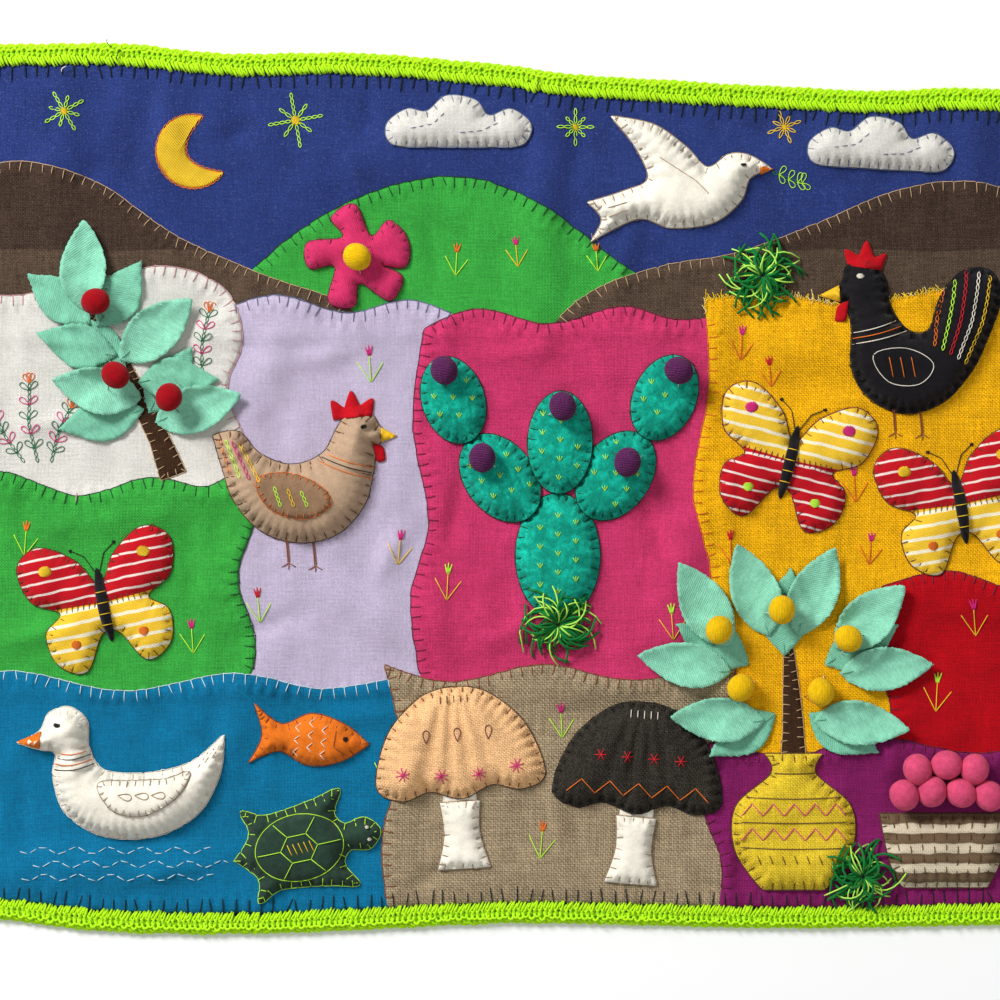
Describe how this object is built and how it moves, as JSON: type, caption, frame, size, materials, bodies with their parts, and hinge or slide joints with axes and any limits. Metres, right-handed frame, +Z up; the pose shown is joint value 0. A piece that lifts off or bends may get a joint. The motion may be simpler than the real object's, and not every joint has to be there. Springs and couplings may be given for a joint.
{
  "type": "arpillera textile",
  "caption": "Padded applique picture cloth with stuffed animals and plants, cloth leaves, balls and yarn tufts sewn on, and a bright crocheted edging, lying flat.",
  "frame": {"origin": "middle of the cloth's outline, on the surface that the cloth lies on", "axes": "+X along the cloth's length, towards the picture's right, +Y towards the picture's top, +Z up out of the picture side"},
  "size_m": [0.6026, 0.4017, 0.0216],
  "materials": {
    "ground": "plain-weave cotton and linen patches in many colours",
    "edging": "fuzzy neon lime crochet",
    "mint": "mint jersey",
    "teal": "teal jersey",
    "red": "stuffed red jersey",
    "yellow": "stuffed yellow jersey",
    "purple": "wound purple yarn",
    "pink": "pink jersey",
    "cream": "cream flannel",
    "taupe": "taupe felt",
    "black": "black felt",
    "dark_green": "dark green felt",
    "peach": "gathered peach cotton",
    "charcoal": "gathered charcoal wool cloth",
    "mustard": "mustard cotton",
    "straw": "brown and cream striped cloth",
    "red_stripe": "red striped cotton",
    "yellow_stripe": "yellow striped cotton",
    "grass": "cut green yarn"
  },
  "bodies": {
    "root": {"ground_cloth": "ground", "edging_top": "edging", "edging_bottom": "edging", "edging_left": "edging", "edging_right": "edging", "cloud_left": "cream", "cloud_right": "cream", "dove": "cream", "rooster": "black", "hen": "taupe", "duck": "cream", "fish": "taupe", "butterfly_left": "red_stripe", "butterfly_middle": "yellow_stripe", "butterfly_right": "red_stripe", "mushroom_stem_peach": "cream", "mushroom_cap_peach": "peach", "mushroom_stem_grey": "cream", "mushroom_cap_grey": "charcoal", "jar": "mustard", "basket": "straw", "basket_balls": "pink", "turtle": "dark_green", "flower": "pink", "flower_ball": "yellow", "cactus_pad_a": "teal", "cactus_pad_b": "teal", "cactus_pad_c": "teal", "cactus_pad_d": "teal", "cactus_pad_e": "teal", "cactus_pad_f": "teal", "cactus_ball_a": "purple", "cactus_ball_b": "purple", "cactus_ball_c": "purple", "cactus_ball_d": "purple", "cactus_ball_e": "purple", "spray_leaf_a": "mint", "spray_leaf_b": "mint", "spray_leaf_c": "mint", "spray_leaf_d": "mint", "spray_leaf_e": "mint", "spray_leaf_f": "mint", "spray_leaf_g": "mint", "spray_leaf_h": "mint", "spray_ball_a": "yellow", "spray_ball_b": "yellow", "spray_ball_c": "yellow", "spray_ball_d": "yellow", "spray_ball_e": "yellow", "vine_leaf_a": "mint", "vine_leaf_b": "mint", "vine_leaf_c": "mint", "vine_leaf_d": "mint", "vine_ball_a": "red", "vine_ball_b": "red", "vine_ball_c": "red", "tuft_cactus": "grass", "tuft_ridge": "grass", "tuft_jar": "grass"}
  },
  "joints": []
}
